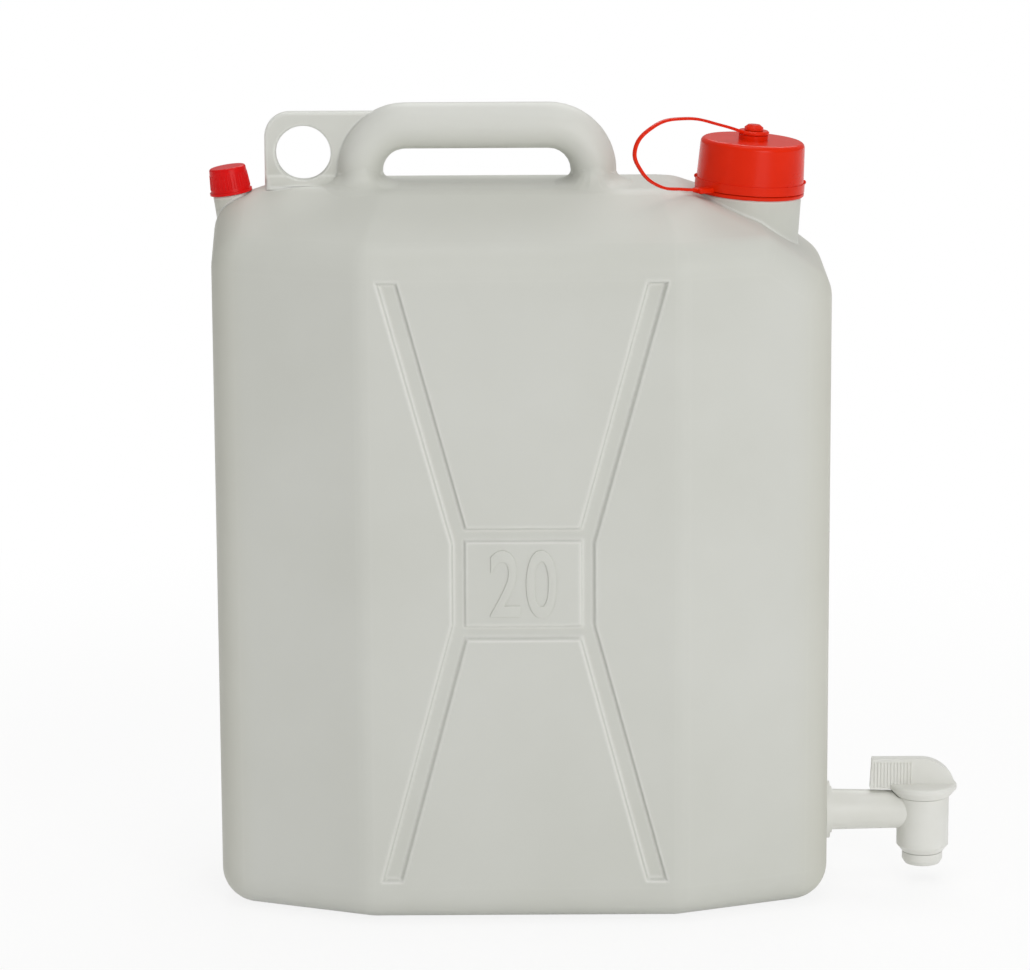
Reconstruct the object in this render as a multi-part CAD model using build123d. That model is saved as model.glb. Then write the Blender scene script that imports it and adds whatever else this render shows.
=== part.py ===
from build123d import *

import math
import os

# A 20 litre blow-moulded can with a filler cap on a strap, a small vent cap and a plug tap.
# Millimetres, +Z up. X runs along the can, the tap is at +X, and the origin is the middle of the base.

# Can body, outside sizes
body_width = 343.0
body_depth = 174.0
body_height = 405.8
front_flat_width = 176.0
end_flat_depth = 106.0
edge_radius = 21.0
wall = 2.0

# Crown: the level top that carries the handle, and the shoulders that slope down from it
crown_depth = 58.0
crown_left_inset = 30.5
crown_right_inset = 85.5
shoulder_angle = 25.0
end_slope_angle = 22.0
right_fall_inset = 39.5
right_fall_angle = 36.0

# Handle, a hollow bent tube, and the hanging lug beside it
handle_inset = 94.5
handle_opening_width = 104.6
handle_opening_height = 19.5
handle_thickness = 25.6
handle_depth = 30.0
handle_inner_bend = 12.5
handle_root_flare = 9.0
flare_overlap = 0.4
lug_inset = 28.5
lug_height = 40.5
lug_thickness = 6.0
lug_corner = 14.0
lug_edge = 1.2
lug_foot_flare = 7.0
lug_hole_radius = 15.3
lug_hole_inset = 50.1
lug_hole_rise = 17.5

# Cross-shaped recess on the front and the back, with a raised plate in its middle
recess_depth = 3.0
recess_draft = 30.0
recess_top_drop = 41.0
recess_bottom = 24.8
recess_side_margin = 8.0
recess_arm_width = 12.0
plate_width = 62.0
plate_height = 46.0
plate_lift = 1.0
plate_groove = 9.0
plate_sink = 1.0

# Filler neck
filler_inset = 44.2
filler_seat_drop = 6.4
filler_tilt = 4.0
filler_boss_radius = 29.2
filler_boss_depth = 46.0
filler_neck_radius = 25.3
filler_neck_height = 27.0
filler_bore_radius = 22.6

# Filler cap with its stud
cap_skirt_gap = 0.4
cap_wall = 1.8
cap_crown_fillet = 3.0
cap_nub_radius = 1.4
cap_top_radius = 29.0
cap_rim_radius = 30.0
cap_bead_radius = 30.7
cap_bead_height = 5.0
cap_thread_gap = 1.6
liner_thickness = 1.2
liner_gap = 0.1
liner_slack = 0.05
stud_boss_radius = 8.2
stud_boss_height = 2.6
stud_neck_radius = 3.4
stud_head_radius = 5.3
stud_head_height = 3.0

# Strap: a collar under the cap, a strip and an eyelet on the stud
strap_thickness = 2.2
strip_thickness = 2.0
strip_width = 3.0
collar_clearance = 0.3
collar_radius = 30.6
eyelet_radius = 8.7
eyelet_clearance = 0.2
strap_tab_length = 9.0
strap_tab_width = 7.2
strap_tab_height = 4.4
strap_tab_lift = 1.6
strap_bearing = 40.0
strap_loop_rise = 13.8
strap_loop_reach = 57.3
# Bends of the loop, as shares of its reach from the neck and of its height
strap_loop = (
    (0.27, 0.88),
    (0.60, 1.00),
    (0.87, 0.91),
    (1.00, 0.64),
    (0.94, 0.38),
    (0.77, 0.16),
    (0.57, 0.10),
)

# Vent neck and its cap
vent_inset = 9.6
vent_seat_drop = 5.3
vent_tilt = -8.5
vent_boss_radius = 10.3
vent_boss_depth = 30.0
vent_neck_radius = 8.2
vent_neck_height = 12.6
vent_bore_radius = 6.2
vent_skirt_gap = 0.4
vent_cap_wall = 1.3
vent_cap_top_radius = 10.2
vent_cap_rim_radius = 11.2
vent_lip_radius = 11.9
vent_lip_height = 1.4

# Tap
tap_height = 40.3
tap_reach = 57.8
tap_hole_clearance = 0.3
spud_radius = 9.8
spud_length = 15.0
tap_bore_radius = 7.4
washer_thickness = 1.7
washer_radius = 15.6
flange_thickness = 2.2
flange_radius = 16.4
tube_collar_thickness = 1.2
tube_collar_radius = 13.4
tube_radius = 11.7
tube_end_radius = 11.0
nut_across_flats = 28.0
nut_thickness = 6.0
barrel_radius = 14.9
barrel_rise = 8.5
barrel_drop = 24.5
barrel_lip_height = 4.0
plug_radius = 12.4
plug_wall = 2.4
plug_clearance = 0.08
plug_neck_radius = 9.9
plug_port_radius = 6.0
nozzle_drop = 31.5
nozzle_radius = 11.6

# Tap handle above the barrel
hood_clearance = 0.3
hood_radius = 19.3
hood_foot_radius = 15.6
hood_thickness = 7.0
hood_rim_thickness = 2.6
hood_edge = 1.2
lever_thickness = 7.0
lever_length = 30.6
lever_height = 14.7
lever_crest_end = -1.5
lever_tip_drop = 3.0
lever_rib_count = 12
lever_rib_pitch = 1.9
lever_rib_size = 0.4


# Places that follow from the sizes above
half_width = body_width / 2
crown_left = half_width - crown_left_inset
crown_right = half_width - crown_right_inset
handle_opening_left = handle_inset - half_width
handle_opening_right = handle_opening_left + handle_opening_width
lug_left = lug_inset - half_width
lug_hole_x = lug_hole_inset - half_width
recess_top = body_height - recess_top_drop
recess_half_width = front_flat_width / 2 - recess_side_margin
plate_middle = (recess_top + recess_bottom) / 2 + plate_lift
filler_x = half_width - filler_inset
filler_seat_z = body_height - filler_seat_drop
vent_x = vent_inset - half_width
vent_seat_z = body_height - vent_seat_drop
barrel_x = half_width + tap_reach
barrel_bottom = tap_height - barrel_drop
barrel_top = tap_height + barrel_rise
nozzle_bottom = tap_height - nozzle_drop
flange_face = half_width + washer_thickness
hood_bottom = barrel_top + hood_clearance
hood_top = hood_bottom + hood_thickness


def upright(points):
    """A face in the XZ plane from X, Z points."""
    return make_face(Polyline(*[(x, 0, z) for x, z in points], close=True))


def turned(points):
    """A solid of revolution about Z from radius, height points."""
    return revolve(upright(points), Axis.Z)


def seat(x, z, tilt):
    """Frame of a neck: its origin on the seat of the cap, its Z along the neck."""
    return Location((x, 0, z), (0, tilt, 0))


filler_frame = seat(filler_x, filler_seat_z, filler_tilt)
vent_frame = seat(vent_x, vent_seat_z, vent_tilt)


# ---- can body ----


def plan_corners():
    return [
        (sx * x, sy * y)
        for sx, sy, order in ((1, -1, 1), (1, 1, -1), (-1, 1, 1), (-1, -1, -1))
        for x, y in (
            (front_flat_width / 2, body_depth / 2),
            (body_width / 2, end_flat_depth / 2),
        )[::order]
    ]


def shoulder_planes():
    """Point and outward normal of each sloping plane of the top."""
    slope = math.radians(shoulder_angle)
    end_slope = math.radians(end_slope_angle)
    rim_height = body_height - (body_depth - crown_depth) / 2 * math.tan(slope)
    facet_run = (body_width - front_flat_width) / 2
    facet_drop = (body_depth - end_flat_depth) / 2
    facet_length = math.hypot(facet_run, facet_drop)
    fall = math.radians(right_fall_angle)
    fall_x = half_width - right_fall_inset
    fall_z = body_height - (fall_x - crown_right) * math.tan(end_slope)
    planes = [
        ((crown_right, 0, body_height), (math.sin(end_slope), 0, math.cos(end_slope))),
        ((-crown_left, 0, body_height), (-math.sin(end_slope), 0, math.cos(end_slope))),
        ((fall_x, 0, fall_z), (math.sin(fall), 0, math.cos(fall))),
    ]
    for sy in (-1, 1):
        planes.append(
            ((0, sy * crown_depth / 2, body_height), (0, sy * math.sin(slope), math.cos(slope)))
        )
        for sx in (-1, 1):
            corner = (sx * front_flat_width / 2, sy * body_depth / 2, rim_height)
            lean = math.sin(slope) / facet_length
            planes.append((corner, (sx * facet_drop * lean, sy * facet_run * lean, math.cos(slope))))
    return planes


def body_core():
    """The body with every face moved in by the edge radius, so that growing it rounds each edge."""
    plan = make_face(Polyline(*plan_corners(), close=True))
    inner_plan = offset(plan, -edge_radius, kind=Kind.INTERSECTION)
    core = extrude(Pos(0, 0, edge_radius) * inner_plan, body_height - 2 * edge_radius)
    for point, normal in shoulder_planes():
        direction = Vector(*normal)
        cut = Plane(origin=Vector(*point) - direction * edge_radius, z_dir=direction)
        core = split(core, bisect_by=cut, keep=Keep.BOTTOM)
    return core


def tapered(points, front, depth, grow, draft):
    """An outline on the face y = front, taken inwards by depth with sloping sides."""
    outline = offset(make_face(Polyline(*points, close=True)), grow, kind=Kind.INTERSECTION)
    face = Plane(origin=(0, front, 0), x_dir=(1, 0, 0), z_dir=(0, 1, 0)) * mirror(outline, Plane.XZ)
    return extrude(face, depth, taper=draft)


def recess(front, depth, grow=0.0):
    """The cross-shaped groove around the plate, as a solid to take away from the front."""
    waist = plate_width / 2 + plate_groove
    rise = plate_height / 2 + plate_groove
    inner_half = recess_half_width - recess_arm_width
    inner_waist = plate_width / 2
    kink = plate_height / 2
    hourglass = [
        (-recess_half_width, recess_top),
        (-waist, plate_middle + kink),
        (-waist, plate_middle - kink),
        (-recess_half_width, recess_bottom),
        (recess_half_width, recess_bottom),
        (waist, plate_middle - kink),
        (waist, plate_middle + kink),
        (recess_half_width, recess_top),
    ]
    upper = [
        (-inner_half, recess_top),
        (-inner_waist, plate_middle + rise),
        (inner_waist, plate_middle + rise),
        (inner_half, recess_top),
    ]
    lower = [
        (-inner_half, recess_bottom),
        (-inner_waist, plate_middle - rise),
        (inner_waist, plate_middle - rise),
        (inner_half, recess_bottom),
    ]
    plate = [
        (-plate_width / 2, plate_middle + kink),
        (-plate_width / 2, plate_middle - kink),
        (plate_width / 2, plate_middle - kink),
        (plate_width / 2, plate_middle + kink),
    ]
    solid = tapered(hourglass, front, depth, grow, recess_draft)
    for island in (upper, lower, plate):
        solid -= tapered(island, front, depth, -grow, -recess_draft)
    return solid + tapered(plate, front, plate_sink, grow + 2 * plate_sink, 0)


def handle_tube(inset):
    half = handle_thickness / 2
    bar_z = body_height + handle_opening_height + half
    left = handle_opening_left - half
    right = handle_opening_right + half
    foot = body_height - edge_radius / 2
    bend = handle_inner_bend + half
    path = FilletPolyline(
        (left, 0, foot), (left, 0, bar_z), (right, 0, bar_z), (right, 0, foot), radius=bend
    )
    section = Pos(left, 0, foot) * Ellipse(half - inset, handle_depth / 2 - inset)
    return sweep(section, path)


def root_flare(x):
    """The foot where a leg of the handle spreads into the crown."""
    rings = []
    for angle in (0, 20, 40, 65, 90):
        turn = math.radians(angle)
        spread = handle_root_flare * (1 - math.sin(turn)) - flare_overlap
        rise = handle_root_flare * (1 - math.cos(turn))
        outline = Ellipse(handle_thickness / 2 + spread, handle_depth / 2 + spread)
        rings.append(Pos(x, 0, body_height + rise) * outline)
    return loft(rings)


def lug_foot():
    """Concave flare along both sides of the lug's foot."""
    half = lug_thickness / 2 - flare_overlap
    wide = half + lug_foot_flare
    bulge = lug_foot_flare * (1 - math.sqrt(0.5))
    edges = []
    for side in (-1, 1):
        middle = (side * (half + bulge), bulge)
        edges.append(ThreePointArc((side * wide, 0), middle, (side * half, lug_foot_flare)))
    edges.append(Line((-half, lug_foot_flare), (half, lug_foot_flare)))
    edges.append(Polyline((-wide, 0), (-wide, -wall), (wide, -wall), (wide, 0)))
    left = lug_left + lug_edge
    right = handle_opening_left - handle_thickness / 2
    outline = Plane(origin=(left, 0, body_height), x_dir=(0, 1, 0), z_dir=(1, 0, 0))
    return extrude(outline * make_face(edges), right - left)


def lug():
    top = body_height + lug_height
    right = handle_opening_left - 1.25 * wall
    foot = body_height - edge_radius / 2
    face = upright([(lug_left, foot), (lug_left, top), (right, top), (right, foot)])
    outer = face.vertices().sort_by(Axis.X)[:2].sort_by(Axis.Z)[-1]
    face = fillet(outer, lug_corner)
    plate = extrude(face, lug_thickness / 2, both=True)
    plate = fillet(plate.faces().filter_by(Axis.Y).edges(), lug_edge) + lug_foot()
    hole = Pos(lug_hole_x, 0, body_height + lug_hole_rise) * Rot(90, 0, 0) * Cylinder(
        lug_hole_radius, 2 * lug_thickness
    )
    return plate - hole


def boss(radius, depth):
    return Pos(0, 0, -depth / 2) * Cylinder(radius, depth)


def neck(radius, height):
    return Pos(0, 0, height / 2) * Cylinder(radius, height)


def neck_inside(boss_radius, depth, bore_radius, height):
    """Room inside a boss and its neck, open at the top."""
    chest = boss_radius - wall
    step = chest - bore_radius
    return turned(
        [
            (0, -depth),
            (chest, -depth),
            (chest, -wall - step),
            (bore_radius, -wall),
            (bore_radius, height + wall),
            (0, height + wall),
        ]
    )


def can_body():
    core = body_core()
    outside = offset(core, edge_radius, kind=Kind.ARC)
    inside = offset(core, edge_radius - wall, kind=Kind.ARC)
    outside += handle_tube(0)
    outside += root_flare(handle_opening_left - handle_thickness / 2)
    outside += root_flare(handle_opening_right + handle_thickness / 2)
    outside += lug()
    inside += handle_tube(wall)
    outside += filler_frame * boss(filler_boss_radius, filler_boss_depth)
    outside += filler_frame * neck(filler_neck_radius, filler_neck_height)
    outside += vent_frame * boss(vent_boss_radius, vent_boss_depth)
    outside += vent_frame * neck(vent_neck_radius, vent_neck_height)
    for side in (0, 180):
        turn = Rot(0, 0, side)
        outside -= turn * recess(-body_depth / 2, recess_depth)
        inside -= turn * recess(-body_depth / 2 + wall, recess_depth, wall)
    inside += filler_frame * neck_inside(
        filler_boss_radius, filler_boss_depth, filler_bore_radius, filler_neck_height
    )
    inside += vent_frame * neck_inside(
        vent_boss_radius, vent_boss_depth, vent_bore_radius, vent_neck_height
    )
    hole = Pos(body_width / 2, 0, tap_height) * Rot(0, 90, 0) * Cylinder(
        spud_radius + tap_hole_clearance, 4 * wall
    )
    return outside - inside - hole


# ---- caps, liners and strap ----


def cap_top():
    """Height of the filler cap's top above the neck's seat."""
    return filler_neck_height + liner_gap + liner_thickness + cap_wall


def filler_cap():
    bottom = strap_thickness + cap_skirt_gap
    top = cap_top()
    ceiling = top - cap_wall
    bore = filler_neck_radius + cap_thread_gap
    shell = turned(
        [
            (0, ceiling),
            (bore, ceiling),
            (bore, bottom),
            (cap_bead_radius, bottom),
            (cap_bead_radius, bottom + cap_bead_height),
            (cap_rim_radius, bottom + cap_bead_height),
            (cap_top_radius, top),
            (0, top),
        ]
    )
    shell = fillet(shell.edges().filter_by(GeomType.CIRCLE).sort_by(Axis.Z)[-1], cap_crown_fillet)
    for side in (-1, 1):
        shell += Pos(side * cap_rim_radius, 0, bottom + cap_bead_height) * Sphere(cap_nub_radius)
    head = top + stud_boss_height + strap_thickness + 2 * eyelet_clearance
    stud = turned(
        [
            (0, top - cap_wall / 2),
            (stud_boss_radius, top - cap_wall / 2),
            (stud_boss_radius, top + stud_boss_height),
            (stud_neck_radius, top + stud_boss_height),
            (stud_neck_radius, head),
            (stud_head_radius, head),
            (stud_head_radius, head + stud_head_height / 2),
            (stud_neck_radius, head + stud_head_height),
            (0, head + stud_head_height),
        ]
    )
    return filler_frame * (shell + stud)


def liner(radius, rim_height):
    """Sealing disc between a neck's rim and the cap above it."""
    thickness = liner_thickness - liner_slack
    return Pos(0, 0, rim_height + liner_gap + thickness / 2) * Cylinder(radius, thickness)


def filler_cap_liner():
    return filler_frame * liner(
        filler_neck_radius + cap_thread_gap - collar_clearance, filler_neck_height
    )


def ring(inner, outer, height):
    return Pos(0, 0, height / 2) * (Cylinder(outer, height) - Cylinder(inner, 2 * height))


def cap_strap():
    collar = ring(filler_neck_radius + collar_clearance, collar_radius, strap_thickness)
    eyelet_z = cap_top() + stud_boss_height + eyelet_clearance
    eyelet = Pos(0, 0, eyelet_z) * ring(
        stud_neck_radius + eyelet_clearance, eyelet_radius, strap_thickness
    )
    middle = strap_thickness / 2
    tab_start = cap_bead_radius + cap_skirt_gap
    crest = cap_top() + strap_loop_rise
    reach = collar_radius + strap_loop_reach
    bends = [(-along * reach, 0, up * crest) for along, up in strap_loop]
    curve = Spline(
        (strap_thickness - eyelet_radius, 0, eyelet_z + middle),
        *bends,
        (-tab_start - strap_tab_length, 0, strap_tab_height - middle),
        (strap_thickness - collar_radius, 0, middle),
        tangents=((-1, 0, 0), (1, 0, 0)),
    )
    section = Plane(origin=curve @ 0, z_dir=curve % 0, x_dir=(0, 1, 0)) * Rectangle(
        strip_width, strip_thickness
    )
    strip = sweep(section, curve)
    tab = Pos(-tab_start - strap_tab_length / 2, 0, (strap_tab_height + strap_tab_lift) / 2) * Box(
        strap_tab_length, strap_tab_width, strap_tab_height - strap_tab_lift
    )
    turned_strip = Rot(0, 0, strap_bearing) * (strip + tab)
    return filler_frame * (collar + eyelet + turned_strip)


def vent_cap():
    bottom = vent_skirt_gap
    top = vent_neck_height + liner_gap + liner_thickness + vent_cap_wall
    ceiling = top - vent_cap_wall
    bore = vent_cap_top_radius - vent_cap_wall
    shell = turned(
        [
            (0, ceiling),
            (bore, ceiling),
            (bore, bottom),
            (vent_lip_radius, bottom),
            (vent_lip_radius, bottom + vent_lip_height),
            (vent_cap_rim_radius, bottom + vent_lip_height),
            (vent_cap_top_radius, top),
            (0, top),
        ]
    )
    shell = fillet(shell.edges().filter_by(GeomType.CIRCLE).sort_by(Axis.Z)[-1], vent_cap_wall)
    return vent_frame * shell


def vent_cap_liner():
    return vent_frame * liner(
        vent_cap_top_radius - vent_cap_wall - collar_clearance, vent_neck_height
    )


# ---- tap ----


def along_x(points):
    """A solid of revolution about the tap's pipe from X, radius points."""
    face = upright([(x, tap_height + r) for x, r in points])
    return revolve(face, Axis((0, 0, tap_height), (1, 0, 0)))


def tap_washer():
    bore = spud_radius + tap_hole_clearance
    return along_x(
        [
            (half_width, bore),
            (flange_face, bore),
            (flange_face, washer_radius),
            (half_width, washer_radius),
        ]
    )


def tap_nut():
    inner_face = half_width - wall
    hexagon = RegularPolygon(nut_across_flats / 2, 6, major_radius=False)
    blank = extrude(Plane.YZ * hexagon, -nut_thickness)
    hole = Rot(0, 90, 0) * Cylinder(spud_radius + tap_hole_clearance / 2, 4 * nut_thickness)
    return Pos(inner_face, 0, tap_height) * (blank - hole)


def barrel_profile(radius, lip_radius, bottom, top):
    """Outline of the plug or of its bore: straight, with a cone down to a narrower lip."""
    cone = bottom + barrel_lip_height
    return [
        (0, bottom),
        (lip_radius, bottom),
        (lip_radius, bottom + barrel_lip_height / 2),
        (radius, cone + barrel_lip_height / 2),
        (radius, top),
        (0, top),
    ]


def hood_profile(room, height):
    """Outline of the hood, grown by the room around it."""
    foot = hood_bottom - room
    rim = hood_bottom + hood_thickness - hood_rim_thickness - room
    return [
        (0, foot),
        (hood_foot_radius + room, foot),
        (hood_radius + room, rim),
        (hood_radius + room, foot + height),
        (0, foot + height),
    ]


def tap_body():
    collar_end = flange_face + flange_thickness + tube_collar_thickness
    pipe = along_x(
        [
            (flange_face - spud_length - washer_thickness, 0),
            (flange_face - spud_length - washer_thickness, spud_radius),
            (flange_face, spud_radius),
            (flange_face, flange_radius),
            (flange_face + flange_thickness, flange_radius),
            (flange_face + flange_thickness, tube_collar_radius),
            (collar_end, tube_collar_radius),
            (collar_end, tube_radius),
            (barrel_x - hood_radius, tube_end_radius),
            (barrel_x, tube_end_radius),
            (barrel_x, 0),
        ]
    )
    lip = barrel_bottom + barrel_lip_height
    barrel = turned(
        [
            (0, barrel_bottom),
            (nozzle_radius, barrel_bottom),
            (barrel_radius, lip),
            (barrel_radius, barrel_top),
            (0, barrel_top),
        ]
    )
    room = turned(
        barrel_profile(plug_radius, plug_neck_radius, barrel_bottom - 1, barrel_top + 1)
    )
    waterway = along_x(
        [
            (0, 0),
            (0, tap_bore_radius),
            (barrel_x, tap_bore_radius),
            (barrel_x, 0),
        ]
    )
    seat_room = turned(hood_profile(hood_clearance, 2 * hood_thickness))
    return pipe + Pos(barrel_x, 0, 0) * barrel - Pos(barrel_x, 0, 0) * (room + seat_room) - waterway


def lever_outline():
    top = hood_top + lever_height
    under = hood_top - lever_tip_drop
    edge = hood_radius - 1
    crest = Line((1 - lever_length, top), (lever_crest_end, top))
    shoulder = TangentArc((lever_crest_end, top), (edge, hood_top - 1), tangent=(1, 0))
    lower = Polyline((edge, hood_top - 1), (1 - edge, under), (-lever_length, under), crest @ 0)
    return Plane.XZ * make_face([crest, shoulder, *lower.edges()])


def lever_ribs():
    bottom = hood_top - lever_tip_drop + 1
    height = lever_height + lever_tip_drop - 3
    bar = Rot(0, 0, 45) * Box(2 * lever_rib_size, 2 * lever_rib_size, height)
    return [
        Pos(2.4 - lever_length + i * lever_rib_pitch, side * lever_thickness / 2, bottom + height / 2)
        * bar
        for i in range(lever_rib_count)
        for side in (-1, 1)
    ]


def tap_handle():
    slack = plug_clearance
    hood = turned(hood_profile(0, hood_thickness))
    hood = fillet(hood.edges().filter_by(GeomType.CIRCLE), hood_edge)
    plug = turned(
        barrel_profile(
            plug_radius - slack, plug_neck_radius - slack, barrel_bottom - 1, hood_bottom + 1
        )
    )
    nozzle_top = barrel_bottom - hood_clearance
    nozzle = turned(
        [
            (0, nozzle_bottom),
            (nozzle_radius - 1.5, nozzle_bottom),
            (nozzle_radius, nozzle_bottom + 2.5),
            (nozzle_radius, nozzle_top),
            (0, nozzle_top),
        ]
    )
    inner = plug_neck_radius - plug_wall
    hollow = turned(
        [
            (0, nozzle_bottom - 1),
            (inner, nozzle_bottom - 1),
            (inner, barrel_bottom + barrel_lip_height),
            (plug_radius - plug_wall, barrel_bottom + 2 * barrel_lip_height),
            (plug_radius - plug_wall, barrel_top - plug_wall),
            (0, barrel_top - plug_wall),
        ]
    )
    port = Pos(0, plug_radius / 2, tap_height) * Rot(90, 0, 0) * Cylinder(
        plug_port_radius, plug_radius
    )
    lever = extrude(lever_outline(), lever_thickness / 2, both=True)
    body = hood + plug + nozzle + lever
    for rib in lever_ribs():
        body += rib
    return Pos(barrel_x, 0, 0) * (body - hollow - port)


parts = {
    "can_body": can_body(),
    "filler_cap": filler_cap(),
    "filler_cap_liner": filler_cap_liner(),
    "cap_strap": cap_strap(),
    "vent_cap": vent_cap(),
    "vent_cap_liner": vent_cap_liner(),
    "tap_body": tap_body(),
    "tap_washer": tap_washer(),
    "tap_nut": tap_nut(),
    "tap_handle": tap_handle(),
}

os.makedirs("parts", exist_ok=True)
for name, shape in parts.items():
    export_step(shape, f"parts/{name}.step")
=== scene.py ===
import bpy
import bmesh
import math
from mathutils import Matrix, Vector
from mathutils.bvhtree import BVHTree


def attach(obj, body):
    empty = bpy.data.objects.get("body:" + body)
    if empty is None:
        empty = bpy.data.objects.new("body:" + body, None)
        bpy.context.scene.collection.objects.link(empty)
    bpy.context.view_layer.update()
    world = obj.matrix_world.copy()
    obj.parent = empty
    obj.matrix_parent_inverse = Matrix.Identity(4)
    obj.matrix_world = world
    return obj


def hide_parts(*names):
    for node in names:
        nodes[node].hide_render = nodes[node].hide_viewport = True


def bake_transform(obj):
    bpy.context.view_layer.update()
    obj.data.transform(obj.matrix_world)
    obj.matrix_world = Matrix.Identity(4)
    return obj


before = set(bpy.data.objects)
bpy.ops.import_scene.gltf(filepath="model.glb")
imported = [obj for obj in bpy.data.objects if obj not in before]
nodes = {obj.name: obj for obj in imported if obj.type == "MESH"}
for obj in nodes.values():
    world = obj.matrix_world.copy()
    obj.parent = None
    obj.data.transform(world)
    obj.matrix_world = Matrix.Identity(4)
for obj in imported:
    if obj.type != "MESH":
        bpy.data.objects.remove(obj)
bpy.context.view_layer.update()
print("frame loaded,", len(nodes), "nodes")


# Camera, floor and light

camera = {
    "place": (-0.00433, -2.6125, 0.8212),
    "lookDown": 12.7,        # degrees below level
    "roll": -0.3,
    "lens": 165.2,
    "sensor": 36.0,
    "farthest": 50.0,
}


def makeCamera(values):
    data = bpy.data.cameras.new("studioCamera")
    data.sensor_fit = "HORIZONTAL"
    data.sensor_width = values["sensor"]
    data.lens = values["lens"]
    data.clip_end = values["farthest"]
    shot = bpy.data.objects.new("studioCamera", data)
    bpy.context.scene.collection.objects.link(shot)
    turn = Matrix.Rotation(math.radians(90 - values["lookDown"]), 4, "X")
    roll = Matrix.Rotation(math.radians(values["roll"]), 4, "Z")
    shot.matrix_world = Matrix.Translation(values["place"]) @ turn @ roll
    bpy.context.scene.camera = shot


studio = {
    "floorColour": (0.95, 0.95, 0.94),
    "floorSize": 40.0,
    "plainColour": (1.0, 1.0, 1.0),
    "plainNear": 0.84,       # how much of the floor shows as plain white, beside the can
    "plainFrom": 0.35,       # from here outwards it turns to plain white
    "plainTo": 0.90,
    "worldColour": (1.0, 1.0, 1.0),
    "worldLow": 0.285,       # at the level of the floor
    "worldHigh": 0.63,       # overhead
    "lamps": {
        "overhead": {
            "place": (0.05, -0.20, 2.6),
            "aim": (0.0, 0.0, 0.3),
            "size": (1.4, 0.8),
            "power": 10.0,
        },
        "keyRight": {
            "place": (1.5, -3.2, 1.1),
            "aim": (0.0, 0.0, 0.2),
            "size": (1.8, 1.8),
            "power": 45.5,
        },
        "fillLeft": {
            "place": (-2.8, -2.0, 0.9),
            "aim": (0.0, 0.0, 0.2),
            "size": (1.4, 1.4),
            "power": 1.5,
        },
        "behind": {
            "place": (0.4, 2.2, 2.3),
            "aim": (0.0, 0.0, 0.2),
            "size": (2.0, 1.2),
            "power": 22.0,
        },
    },
}


def newMaterial(name):
    material = bpy.data.materials.new(name)
    material.use_nodes = True
    material.node_tree.nodes.clear()
    return material, material.node_tree.nodes, material.node_tree.links


def mathNode(shader, link, operation, *values):
    node = shader.new("ShaderNodeMath")
    node.operation = operation
    for value, socket in zip(values, node.inputs):
        link.new(value, socket)
    return node.outputs[0]


def mapRange(shader, link, value, before, after, smooth=False):
    node = shader.new("ShaderNodeMapRange")
    node.interpolation_type = "SMOOTHSTEP" if smooth else "LINEAR"
    node.inputs["From Min"].default_value, node.inputs["From Max"].default_value = before
    node.inputs["To Min"].default_value, node.inputs["To Max"].default_value = after
    link.new(value, node.inputs["Value"])
    return node.outputs["Result"]


def makePaper(values):
    # matt paper for the light that it throws back, but mostly plain white where it is seen,
    # so that it keeps a little of the can's shadow and none of it far out
    material, shader, link = newMaterial("floorPaper")
    out = shader.new("ShaderNodeOutputMaterial")
    paper = shader.new("ShaderNodeBsdfDiffuse")
    paper.inputs["Color"].default_value = (*values["floorColour"], 1)
    plain = shader.new("ShaderNodeEmission")
    plain.inputs["Color"].default_value = (*values["plainColour"], 1)
    plain.inputs["Strength"].default_value = 1.0
    path = shader.new("ShaderNodeLightPath")
    seen = mathNode(shader, link, "MAXIMUM", path.outputs["Is Camera Ray"], path.outputs["Is Glossy Ray"])
    reach = shader.new("ShaderNodeVectorMath")
    reach.operation = "LENGTH"
    link.new(shader.new("ShaderNodeTexCoord").outputs["Object"], reach.inputs[0])
    far = mapRange(shader, link, reach.outputs["Value"], (values["plainFrom"], values["plainTo"]),
                   (values["plainNear"], 1.0), smooth=True)
    mix = shader.new("ShaderNodeMixShader")
    link.new(mathNode(shader, link, "MULTIPLY", seen, far), mix.inputs["Fac"])
    link.new(paper.outputs[0], mix.inputs[1])
    link.new(plain.outputs[0], mix.inputs[2])
    link.new(mix.outputs[0], out.inputs["Surface"])
    return material


def makeFloor(values):
    sketch = bmesh.new()
    bmesh.ops.create_grid(sketch, x_segments=1, y_segments=1, size=values["floorSize"] / 2)
    mesh = bpy.data.meshes.new("studioFloor")
    sketch.to_mesh(mesh)
    sketch.free()
    floor = bpy.data.objects.new("studioFloor", mesh)
    bpy.context.scene.collection.objects.link(floor)
    mesh.materials.append(makePaper(values))


def makeWorld(values):
    world = bpy.data.worlds.new("studioWorld")
    bpy.context.scene.world = world
    world.use_nodes = True
    shader, link = world.node_tree.nodes, world.node_tree.links
    sky = shader["Background"]
    sky.inputs["Color"].default_value = (*values["worldColour"], 1)
    parts = shader.new("ShaderNodeSeparateXYZ")
    link.new(shader.new("ShaderNodeTexCoord").outputs["Generated"], parts.inputs[0])
    strength = mapRange(shader, link, parts.outputs["Z"], (0.0, 1.0),
                        (values["worldLow"], values["worldHigh"]))
    link.new(strength, sky.inputs["Strength"])


def makeLamp(name, lamp):
    light = bpy.data.lights.new(name, "AREA")
    light.shape = "RECTANGLE"
    light.size, light.size_y = lamp["size"]
    light.energy = lamp["power"]
    holder = bpy.data.objects.new(name, light)
    bpy.context.scene.collection.objects.link(holder)
    place = Vector(lamp["place"])
    facing = (Vector(lamp["aim"]) - place).to_track_quat("-Z", "Y").to_matrix().to_4x4()
    holder.matrix_world = Matrix.Translation(place) @ facing


makeCamera(camera)
makeFloor(studio)
makeWorld(studio)
for lampName, lamp in studio["lamps"].items():
    makeLamp(lampName, lamp)
bpy.context.scene.view_settings.view_transform = "Standard"
print("camera, floor and lights are set")


# Plastics

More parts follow.
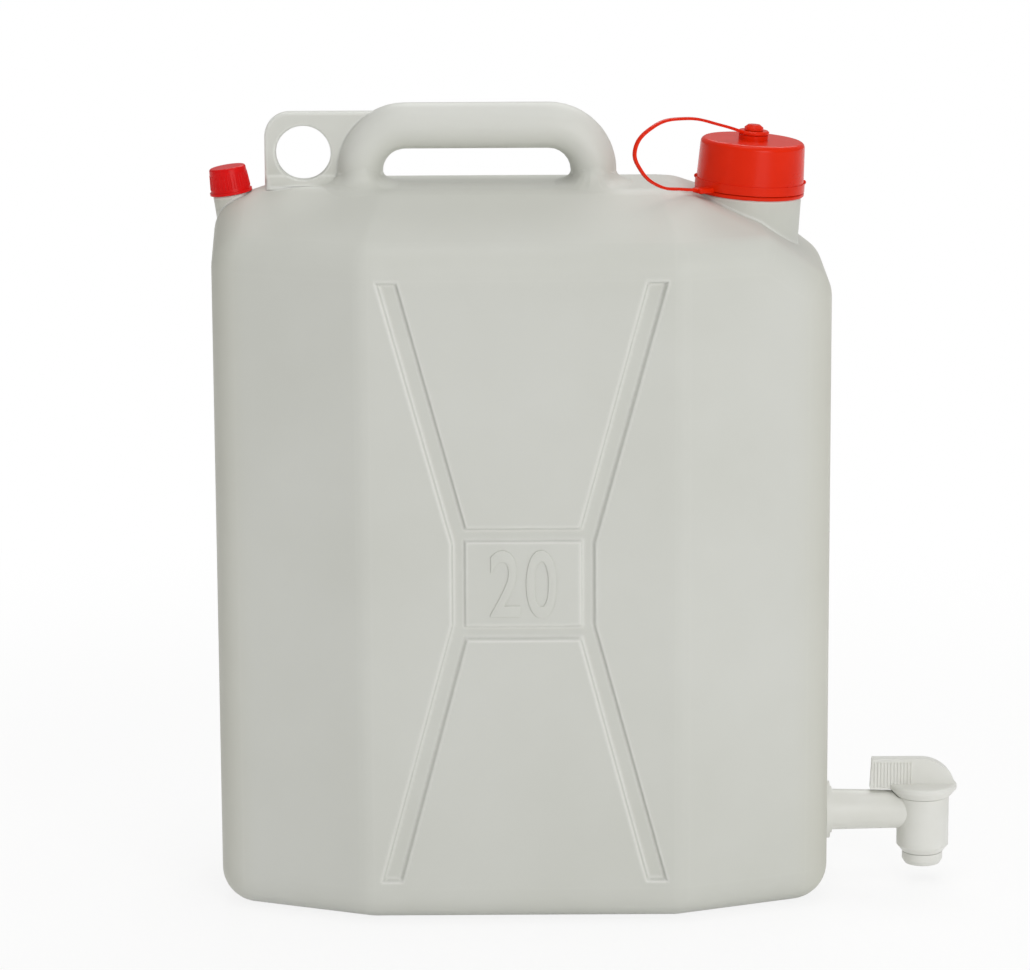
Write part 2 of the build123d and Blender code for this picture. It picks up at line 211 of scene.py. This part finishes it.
natural = {
    "colour": (0.640, 0.647, 0.605),
    "cloudy": (0.608, 0.615, 0.568),       # what the colour turns to in the cloudy patches
    "cloudSize": 9.0,
    "roughness": (0.40, 0.52),
    "grain": 420.0,
    "bump": 0.05,
    "ripple": 16.0,
    "rippleBump": 0.06,
    "shine": 0.35,
}

plastics = {
    "naturalPolyethylene": {
        **natural,
        "toned": True,
        "edge": 0.0028,
    },
    "crownPlastic": {
        **natural,
        "toned": True,
    },
    "raisedMark": {
        **natural,
        "colour": (0.640, 0.647, 0.602),
        "cloudy": (0.610, 0.617, 0.570),
    },
    "fillerRed": {
        "colour": (0.800, 0.024, 0.003),
        "cloudy": (0.730, 0.019, 0.002),
        "cloudSize": 30.0,
        "roughness": (0.20, 0.28),
        "grain": 900.0,
        "bump": 0.02,
        "ripple": 60.0,
        "rippleBump": 0.01,
        "shine": 0.12,
    },
    "ventRed": {
        "colour": (0.740, 0.006, 0.006),
        "cloudy": (0.670, 0.005, 0.005),
        "cloudSize": 40.0,
        "roughness": (0.26, 0.36),
        "grain": 900.0,
        "bump": 0.02,
        "ripple": 70.0,
        "rippleBump": 0.01,
        "shine": 0.13,
    },
    "tapWhite": {
        "colour": (0.780, 0.780, 0.745),
        "cloudy": (0.740, 0.740, 0.695),
        "cloudSize": 40.0,
        "roughness": (0.34, 0.44),
        "grain": 700.0,
        "bump": 0.03,
        "ripple": 50.0,
        "rippleBump": 0.05,
        "shine": 0.40,
    },
    "sealRubber": {
        "colour": (0.560, 0.545, 0.490),
        "cloudy": (0.500, 0.485, 0.430),
        "cloudSize": 60.0,
        "roughness": (0.60, 0.75),
        "grain": 1500.0,
        "bump": 0.10,
        "ripple": 90.0,
        "rippleBump": 0.05,
        "shine": 0.30,
    },
    "linerFoam": {
        "colour": (0.800, 0.800, 0.780),
        "cloudy": (0.740, 0.740, 0.720),
        "cloudSize": 200.0,
        "roughness": (0.70, 0.85),
        "grain": 2500.0,
        "bump": 0.25,
        "ripple": 300.0,
        "rippleBump": 0.10,
        "shine": 0.30,
    },
}

surface = {
    "noiseRange": (0.32, 0.68),            # of the noise's own 0 to 1, spread to all of it
    "cloudDetail": 3,
    "grainDetail": 2,
    "rippleDetail": 1,
    "grainDepth": 0.0002,
    "rippleDepth": 0.002,
    "edgeSamples": 4,
    "refraction": 1.5,
}

canTone = {
    "tints": {
        # painted shade: the crown is darkened and greened towards its top
        "crown": {
            "colour": (0.560, 0.565, 0.490),
            "axis": "Z",
            "from": 0.345,
            "to": 0.405,
            "share": 0.26,
        },
        "handle": {                        # both walls of the handle and the necks catch the light
            "colour": (0.690, 0.695, 0.650),
            "axis": "Z",
            "from": 0.407,
            "to": 0.428,
            "share": 0.8,
        },
        "ends": {                          # painted shade, darker and yellower towards the rounded ends
            "colour": (0.545, 0.530, 0.430),
            "axis": "X",
            "from": 0.148,
            "to": 0.176,
            "share": 0.42,
        },
    },
    # painted highlight, laid along the softened edges of the moulding
    "rimHighlight": (0.850, 0.855, 0.810),
    "rimTurn": 0.972,                      # how far the softened face has turned there, as a cosine
    "rimShare": 1.0,
    "seamHalf": 0.0006,                    # the mould's parting line runs all round at y = 0
    "seamBump": 0.5,
    "seamDepth": 0.0004,
}


def noise(shader, link, place, scale, detail):
    node = shader.new("ShaderNodeTexNoise")
    node.inputs["Scale"].default_value = scale
    node.inputs["Detail"].default_value = detail
    link.new(place, node.inputs["Vector"])
    return node.outputs["Fac"]


def blendColours(shader, link, share, first, second):
    node = shader.new("ShaderNodeMix")
    node.data_type = "RGBA"
    link.new(share, node.inputs["Factor"])
    for socket, colour in ((node.inputs[6], first), (node.inputs[7], second)):
        if isinstance(colour, tuple):
            socket.default_value = (*colour, 1)
        else:
            link.new(colour, socket)
    return node.outputs[2]


def bump(shader, link, height, strength, depth, before=None):
    node = shader.new("ShaderNodeBump")
    node.inputs["Strength"].default_value = strength
    node.inputs["Distance"].default_value = depth
    link.new(height, node.inputs["Height"])
    if before:
        link.new(before, node.inputs["Normal"])
    return node.outputs["Normal"]


def splitPlace(shader, link, place):
    parts = shader.new("ShaderNodeSeparateXYZ")
    link.new(place, parts.inputs[0])
    return parts.outputs


def addTints(shader, link, place, colour, values):
    parts = splitPlace(shader, link, place)
    for tint in values["tints"].values():
        away = mathNode(shader, link, "ABSOLUTE", parts[tint["axis"]])
        share = mapRange(shader, link, away, (tint["from"], tint["to"]), (0.0, tint["share"]), smooth=True)
        colour = blendColours(shader, link, share, colour, tint["colour"])
    return colour


def addRimHighlight(shader, link, softened, colour, values):
    # painted highlight: a lighter colour along every edge of the moulding, where light gathers in the thin
    # wall
    alike = shader.new("ShaderNodeVectorMath")
    alike.operation = "DOT_PRODUCT"
    link.new(softened, alike.inputs[0])
    link.new(shader.new("ShaderNodeNewGeometry").outputs["Normal"], alike.inputs[1])
    share = mapRange(shader, link, alike.outputs["Value"], (1.0, values["rimTurn"]),
                     (0.0, values["rimShare"]))
    return blendColours(shader, link, share, colour, values["rimHighlight"])


def addSeam(shader, link, place, normal, values):
    away = mathNode(shader, link, "ABSOLUTE", splitPlace(shader, link, place)["Y"])
    height = mapRange(shader, link, away, (values["seamHalf"], 0.0), (0.0, 1.0))
    return bump(shader, link, height, values["seamBump"], values["seamDepth"], normal)


def makePlastic(name, values, shared, tone):
    material, shader, link = newMaterial(name)
    out = shader.new("ShaderNodeOutputMaterial")
    plastic = shader.new("ShaderNodeBsdfPrincipled")
    place = shader.new("ShaderNodeTexCoord").outputs["Object"]
    clouds = noise(shader, link, place, values["cloudSize"], shared["cloudDetail"])
    grain = noise(shader, link, place, values["grain"], shared["grainDetail"])
    ripple = noise(shader, link, place, values["ripple"], shared["rippleDetail"])
    share = mapRange(shader, link, clouds, shared["noiseRange"], (0.0, 1.0))
    colour = blendColours(shader, link, share, values["colour"], values["cloudy"])
    roughness = mapRange(shader, link, clouds, shared["noiseRange"], values["roughness"])
    softened = None
    if "edge" in values:                   # shades every edge as if it were rounded by this much
        bevel = shader.new("ShaderNodeBevel")
        bevel.samples = shared["edgeSamples"]
        bevel.inputs["Radius"].default_value = values["edge"]
        softened = bevel.outputs["Normal"]
    normal = bump(shader, link, ripple, values["rippleBump"], shared["rippleDepth"], softened)
    normal = bump(shader, link, grain, values["bump"], shared["grainDepth"], normal)
    if values.get("toned"):
        colour = addTints(shader, link, place, colour, tone)
        if softened:
            colour = addRimHighlight(shader, link, softened, colour, tone)
        normal = addSeam(shader, link, place, normal, tone)
    link.new(colour, plastic.inputs["Base Color"])
    link.new(roughness, plastic.inputs["Roughness"])
    link.new(normal, plastic.inputs["Normal"])
    plastic.inputs["IOR"].default_value = shared["refraction"]
    plastic.inputs["Specular IOR Level"].default_value = values["shine"]
    link.new(plastic.outputs[0], out.inputs["Surface"])
    return material


finishes = {name: makePlastic(name, values, surface, canTone) for name, values in plastics.items()}

nodeFinishes = {
    "can_body": "naturalPolyethylene",
    "filler_cap": "fillerRed",
    "filler_cap_liner": "linerFoam",
    "cap_strap": "fillerRed",
    "vent_cap": "ventRed",
    "vent_cap_liner": "linerFoam",
    "tap_body": "tapWhite",
    "tap_washer": "sealRubber",
    "tap_nut": "tapWhite",
    "tap_handle": "tapWhite",
}

for nodeName, finish in nodeFinishes.items():
    materials = nodes[nodeName].data.materials
    for place in range(len(materials)):
        materials[place] = finishes[finish]
print("plastics are on the nodes")


# Helpers for the modelled pieces

mergeWithin = 1e-6


def neckFrame(x, z, tilt):
    return Matrix.Translation((x, 0, z)) @ Matrix.Rotation(math.radians(tilt), 4, "Y")


def drawLoop(sketch, points):
    # a closed outline in the XZ plane, from points given as radius and height
    corners = [sketch.verts.new((radius, 0, z)) for radius, z in points]
    edges = [sketch.edges.new(pair) for pair in zip(corners, corners[1:] + corners[:1])]
    return corners, edges


def turnedRing(points, steps=96):
    sketch = bmesh.new()
    corners, edges = drawLoop(sketch, points)
    bmesh.ops.spin(sketch, geom=corners + edges, cent=(0, 0, 0), axis=(0, 0, 1),
                   angle=2 * math.pi, steps=steps, use_merge=True)
    return sketch


def helixRidge(points, pitch, turns, steps=64):
    # a ridge of the given section wound round Z, closed at both ends
    sketch = bmesh.new()
    corners, edges = drawLoop(sketch, points)
    sketch.faces.new(corners)
    wound = bmesh.ops.spin(sketch, geom=corners + edges, cent=(0, 0, 0), axis=(0, 0, 1),
                           dvec=(0, 0, pitch / steps), angle=2 * math.pi * turns,
                           steps=int(steps * turns), use_merge=False)
    last = [part for part in wound["geom_last"] if isinstance(part, bmesh.types.BMVert)]
    bmesh.ops.contextual_create(sketch, geom=last)
    return sketch


def roundEdges(sketch, reach, segments=3, sharper=50):
    edges = [edge for edge in sketch.edges
             if len(edge.link_faces) == 2 and edge.calc_face_angle() > math.radians(sharper)]
    bmesh.ops.bevel(sketch, geom=edges, offset=reach, offset_type="OFFSET", segments=segments,
                    profile=0.5, affect="EDGES", material=-1, clamp_overlap=True)


def addSketch(whole, part):
    loose = bpy.data.meshes.new("loosePart")
    part.to_mesh(loose)
    whole.from_mesh(loose)
    bpy.data.meshes.remove(loose)
    part.free()


def sketchCurve(curve):
    # the curve's faces as a sketch, made at the origin
    holder = bpy.data.objects.new(curve.name, curve)
    bpy.context.scene.collection.objects.link(holder)
    state = bpy.context.evaluated_depsgraph_get()
    mesh = bpy.data.meshes.new_from_object(holder.evaluated_get(state))
    bpy.data.objects.remove(holder)
    sketch = bmesh.new()
    sketch.from_mesh(mesh)
    bpy.data.meshes.remove(mesh)
    return sketch


def cleanSketch(sketch):
    bmesh.ops.remove_doubles(sketch, verts=sketch.verts, dist=mergeWithin)
    bmesh.ops.recalc_face_normals(sketch, faces=sketch.faces)


def finishPiece(name, sketch, place, finish, smoothBelow=40):
    cleanSketch(sketch)
    sketch.transform(place)
    mesh = bpy.data.meshes.new(name)
    sketch.to_mesh(mesh)
    sketch.free()
    mesh.polygons.foreach_set("use_smooth", [True] * len(mesh.polygons))
    mesh.set_sharp_from_angle(angle=math.radians(smoothBelow))
    mesh.materials.append(finishes[finish])
    piece = bpy.data.objects.new(name, mesh)
    bpy.context.scene.collection.objects.link(piece)
    return piece


# Where the caps and the tap screw on, each with Z along its axis

seats = {
    "filler": {"x": 0.1273, "z": 0.3994, "tilt": 4.0},
    "vent": {"x": -0.1619, "z": 0.4005, "tilt": -8.5},
    "tap": {"x": 0.1565, "z": 0.0403, "tilt": 90.0},
}

fillerPlace, ventPlace, tapPlace = (neckFrame(**seats[name]) for name in ("filler", "vent", "tap"))


# Filler strap

strap = {
    "bearing": 40.0,                       # degrees, from -X about the neck's axis
    "collar": (0.0256, 0.0306, 0.0022),    # inner radius, outer radius, height
    "collarEdge": 0.0005,
    "eyelet": (0.0036, 0.0087, 0.0022),
    "eyeletEdge": 0.0006,
    "eyeletRise": 0.0329,
    "tabFrom": 0.0311,
    "tabTo": 0.0401,
    "tabWidth": 0.0072,
    "tabLow": 0.0016,
    "tabHigh": 0.0044,
    "tabEdge": 0.0008,
    "tabSunk": 0.0020,                     # how far the tab reaches into the collar
    "stripWidth": 0.0021,
    "stripThickness": 0.0016,
    "stripEdge": 0.0003,
    "stripSteps": 10,
    "loop": [                              # out from the neck's axis, up from its seat
        (0.0065, 0.0340),
        (0.0238, 0.0387),
        (0.0527, 0.0439),
        (0.0765, 0.0400),
        (0.0879, 0.0281),
        (0.0826, 0.0167),
        (0.0677, 0.0070),
        (0.0501, 0.0044),
        (0.0401, 0.0034),
        (0.0290, 0.0012),
    ],
    "stillBelow": 0.005,                   # a height up from the seat, at the can's end of the strap
    "liftsAbove": 0.032,                   # a height up from the seat, at the cap's end of the strap
}


def roundedRing(inner, outer, height, edge):
    return turnedRing([
        (inner, edge), (inner + edge, 0), (outer - edge, 0), (outer, edge),
        (outer, height - edge), (outer - edge, height), (inner + edge, height), (inner, height - edge),
    ])


def makeStrip(values):
    line = bpy.data.curves.new("stripLine", "CURVE")
    line.dimensions = "2D"
    line.fill_mode = "NONE"
    line.resolution_u = values["stripSteps"]
    line.extrude = values["stripWidth"] / 2
    spline = line.splines.new("BEZIER")
    spline.bezier_points.add(len(values["loop"]) - 1)
    for point, (along, rise) in zip(spline.bezier_points, values["loop"]):
        point.co = (-along, rise, 0)
        point.handle_left_type = point.handle_right_type = "AUTO"
    sketch = sketchCurve(line)
    cleanSketch(sketch)
    sketch.normal_update()
    for corner in sketch.verts:
        corner.co += corner.normal * values["stripThickness"] / 2
    bmesh.ops.solidify(sketch, geom=sketch.faces[:], thickness=values["stripThickness"])
    bmesh.ops.recalc_face_normals(sketch, faces=sketch.faces)
    roundEdges(sketch, values["stripEdge"], segments=2)
    sketch.transform(Matrix.Rotation(math.radians(90), 4, "X"))
    return sketch


def makeTab(values):
    begin, end, sunk = values["tabFrom"], values["tabTo"], values["tabSunk"]
    low, high = values["tabLow"], values["tabHigh"]
    tab = bmesh.new()
    bmesh.ops.create_cube(tab, size=1)
    bmesh.ops.scale(tab, vec=(end - begin + sunk, values["tabWidth"], high - low), verts=tab.verts)
    roundEdges(tab, values["tabEdge"])
    tab.transform(Matrix.Translation((-(begin + end) / 2 + sunk / 2, 0, (low + high) / 2)))
    return tab


def makeStrap(values):
    whole = roundedRing(*values["collar"], values["collarEdge"])
    eyelet = roundedRing(*values["eyelet"], values["eyeletEdge"])
    eyelet.transform(Matrix.Translation((0, 0, values["eyeletRise"])))
    addSketch(whole, eyelet)
    arm = makeStrip(values)
    addSketch(arm, makeTab(values))
    arm.transform(Matrix.Rotation(math.radians(values["bearing"]), 4, "Z"))
    addSketch(whole, arm)
    piece = finishPiece("fillerStrap", whole, fillerPlace, "fillerRed")
    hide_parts("cap_strap")
    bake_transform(piece)


makeStrap(strap)
print("filler strap is made")


# Screw threads

threadSunk = 0.0003    # how far a ridge reaches into its wall

threads = {
    "fillerNeckThread": {
        "body": "can", "place": fillerPlace, "finish": "naturalPolyethylene", "slot": "can_plastic",
        "wall": 0.0253, "out": 0.00115, "base": 0.0024, "tip": 0.0010,
        "from": 0.0075, "pitch": 0.006, "turns": 2.4,
    },
    "fillerCapThread": {
        "body": "filler_cap", "place": fillerPlace, "finish": "fillerRed", "slot": "filler_red",
        "wall": 0.0269, "out": -0.00115, "base": 0.0024, "tip": 0.0010,
        "from": 0.0105, "pitch": 0.006, "turns": 1.9,
    },
    "ventNeckThread": {
        "body": "can", "place": ventPlace, "finish": "naturalPolyethylene", "slot": "can_plastic",
        "wall": 0.0082, "out": 0.00045, "base": 0.0011, "tip": 0.0005,
        "from": 0.0030, "pitch": 0.003, "turns": 2.4,
    },
    "ventCapThread": {
        "body": "vent_cap", "place": ventPlace, "finish": "ventRed", "slot": "vent_red",
        "wall": 0.0089, "out": -0.00045, "base": 0.0011, "tip": 0.0005,
        "from": 0.0045, "pitch": 0.003, "turns": 2.2,
    },
    "tapStemThread": {
        "body": "can", "place": tapPlace, "finish": "tapWhite", "slot": "tap_white",
        "wall": 0.0098, "out": 0.0004, "base": 0.0014, "tip": 0.0004,
        "from": 0.0012, "pitch": 0.002, "turns": 2.3,
    },
}


def makeThread(name, values):
    root = values["wall"] - math.copysign(threadSunk, values["out"])
    crest = values["wall"] + values["out"]
    middle, half, tip = values["from"], values["base"] / 2, values["tip"] / 2
    ridge = helixRidge([
        (root, middle - half), (crest, middle - tip), (crest, middle + tip), (root, middle + half),
    ], values["pitch"], values["turns"])
    piece = finishPiece(name, ridge, values["place"], values["finish"])
    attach(piece, values["body"])


for threadName, values in threads.items():
    makeThread(threadName, values)
print("threads are made")


# Ribs on the vent cap

ventRibs = {
    "count": 40,
    "low": 0.0034,
    "high": 0.0116,
    "lowRadius": 0.01108,    # of the cap's side at the foot and at the top of the ribs
    "highRadius": 0.01044,
    "size": 0.00024,
    "taper": 0.7,
    "sides": 8,
}


def makeVentRibs(values):
    sketch = bmesh.new()
    height = values["high"] - values["low"]
    bmesh.ops.create_cone(sketch, cap_ends=True, segments=values["sides"], radius1=values["size"],
                          radius2=values["size"] * values["taper"], depth=height)
    lean = math.atan2(values["highRadius"] - values["lowRadius"], height)
    middle = ((values["lowRadius"] + values["highRadius"]) / 2, 0, values["low"] + height / 2)
    sketch.transform(Matrix.Translation(middle) @ Matrix.Rotation(lean, 4, "Y"))
    bmesh.ops.spin(sketch, geom=sketch.verts[:] + sketch.edges[:] + sketch.faces[:], cent=(0, 0, 0),
                   axis=(0, 0, 1), angle=2 * math.pi, steps=values["count"], use_duplicate=True)
    piece = finishPiece("ventCapRibs", sketch, ventPlace, "ventRed")
    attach(piece, "vent_cap")


makeVentRibs(ventRibs)
print("vent cap ribs are made")


# Blends at the feet of the handle

footBlend = {
    "legs": (-0.08980, 0.04040),     # middle of each leg along the can
    "half": (0.0128, 0.0150),        # half of a leg's section, along and across the can
    "crown": 0.4058,
    "flare": 0.0090,                 # radius of the flare under the blend
    "overlap": 0.0004,               # how far that flare starts inside the leg
    "rise": (0.0045, 0.0110),        # where the blend starts, beside the leg and in front of it
    "reach": (0.0095, 0.0160),       # how far it runs out, beside the leg and in front of it
    "ease": 1.05,                    # pull of both ends on the curve, as a share of its span
    "lift": 0.0003,                  # how far the skin stands off, half way down
    "bury": 0.000075,                # how far both its ends go under
    "thickness": 0.0008,
    "look": 0.0030,                  # how far above itself the skin looks for the can
    "clear": 0.0005,                 # what it then stays above the can, half way down
    "around": 120,
    "steps": 20,
}

up = Vector((0, 0, 1))


def easeCurve(start, leave, end, arrive, part):
    # a point and the direction of a cubic that leaves and arrives along the given vectors
    square, cube = part ** 2, part ** 3
    point = ((2 * cube - 3 * square + 1) * start + (cube - 2 * square + part) * leave
             + (3 * square - 2 * cube) * end + (cube - square) * arrive)
    lead = ((6 * square - 6 * part) * (start - end) + (3 * square - 4 * part + 1) * leave
            + (3 * square - 2 * part) * arrive)
    return point, lead.normalized()


def footPoint(values, middle, angle, away, height):
    along, across = values["half"]
    return Vector((middle + (along + away) * math.cos(angle), (across + away) * math.sin(angle),
                   values["crown"] + height))


def footSection(values, can, middle, angle):
    # the skin from the leg down to the crown at one bearing, as pairs of its two faces
    front = math.sin(angle) ** 2
    rise, reach = (first + front * (last - first) for first, last in (values["rise"], values["reach"]))
    turn = math.acos(max(0.0, 1 - rise / values["flare"]))
    flareOut = values["flare"] * (1 - math.sin(turn)) - values["overlap"]
    if flareOut < 0:
        flareOut, turn = 0.0, math.pi / 2
    along, across = values["half"]
    out = Vector((math.cos(angle) / along, math.sin(angle) / across, 0)).normalized()
    start = footPoint(values, middle, angle, flareOut, rise)
    end, normal = can.ray_cast(footPoint(values, middle, angle, reach, values["look"]), -up)[:2]
    span = (end - start).length * values["ease"]
    leave = (out * math.cos(turn) - up * math.sin(turn)) * span
    arrive = (out - out.dot(normal) * normal).normalized() * span
    section = []
    for step in range(values["steps"] + 1):
        part = step / values["steps"]
        swell = math.sin(math.pi * part)
        point, lead = easeCurve(start, leave, end, arrive, part)
        outer = (up * lead.dot(out) - out * lead.dot(up)).normalized()
        under = can.ray_cast(point + up * values["look"], -up)[0]
        if under:
            point.z = max(point.z, under.z + values["clear"] * swell)
        lift = values["lift"] * swell - values["bury"]
        section.append((point + outer * lift, point - outer * values["thickness"]))
    return section


def makeFootBlends(values):
    body = nodes["can_body"]
    can = BVHTree.FromPolygons([body.matrix_world @ corner.co for corner in body.data.vertices],
                               [face.vertices for face in body.data.polygons])
    sketch = bmesh.new()
    for middle in values["legs"]:
        rings = []
        for place in range(values["around"]):
            section = footSection(values, can, middle, 2 * math.pi * place / values["around"])
            outline = [upper for upper, lower in section] + [lower for upper, lower in reversed(section)]
            rings.append([sketch.verts.new(point) for point in outline])
        for first, second in zip(rings, rings[1:] + rings[:1]):
            for place in range(len(first)):
                before = place - 1
                sketch.faces.new((first[before], first[place], second[place], second[before]))
    piece = finishPiece("footBlends", sketch, Matrix.Identity(4), "crownPlastic")
    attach(piece, "can")


makeFootBlends(footBlend)
print("foot blends are made")


# Raised volume mark

volumeMark = {
    "text": "20",
    "middle": 0.1958,
    "face": 0.0860,          # from the can's middle to the plate
    "height": 0.0385,
    "width": 0.0367,
    "raised": 0.0008,
    "sunk": 0.0006,
    "size": 0.04,            # of the letters before they are fitted
    "extrude": 0.0004,
    "edge": 0.0003,
    "edgeSteps": 2,
    "weight": 0.0003,
    "spacing": 1.12,
}


def makeDigits(values):
    # the number flat in XY, centred, with its width, height and thickness fitted
    text = bpy.data.curves.new("volumeText", "FONT")
    text.body = values["text"]
    text.size = values["size"]
    text.extrude = values["extrude"]
    text.bevel_depth = values["edge"]
    text.bevel_resolution = values["edgeSteps"]
    text.offset = values["weight"]
    text.space_character = values["spacing"]
    sketch = sketchCurve(text)
    lows = [min(corner.co[axis] for corner in sketch.verts) for axis in range(3)]
    highs = [max(corner.co[axis] for corner in sketch.verts) for axis in range(3)]
    wanted = (values["width"], values["height"], values["raised"] + values["sunk"])
    fit = [size / (high - low) for size, low, high in zip(wanted, lows, highs)]
    centre = [-(low + high) / 2 for low, high in zip(lows, highs)]
    bmesh.ops.translate(sketch, vec=centre, verts=sketch.verts)
    bmesh.ops.scale(sketch, vec=fit, verts=sketch.verts)
    return sketch


def makeVolumeMark(values):
    whole = bmesh.new()
    out = values["face"] + values["raised"] - (values["raised"] + values["sunk"]) / 2
    upright = Matrix.Translation((0, -out, values["middle"])) @ Matrix.Rotation(math.radians(90), 4, "X")
    for turn in (0, 180):
        digits = makeDigits(values)
        digits.transform(Matrix.Rotation(math.radians(turn), 4, "Z") @ upright)
        addSketch(whole, digits)
    piece = finishPiece("volumeMark", whole, Matrix.Identity(4), "raisedMark")
    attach(piece, "can")


makeVolumeMark(volumeMark)
print("volume mark is made")
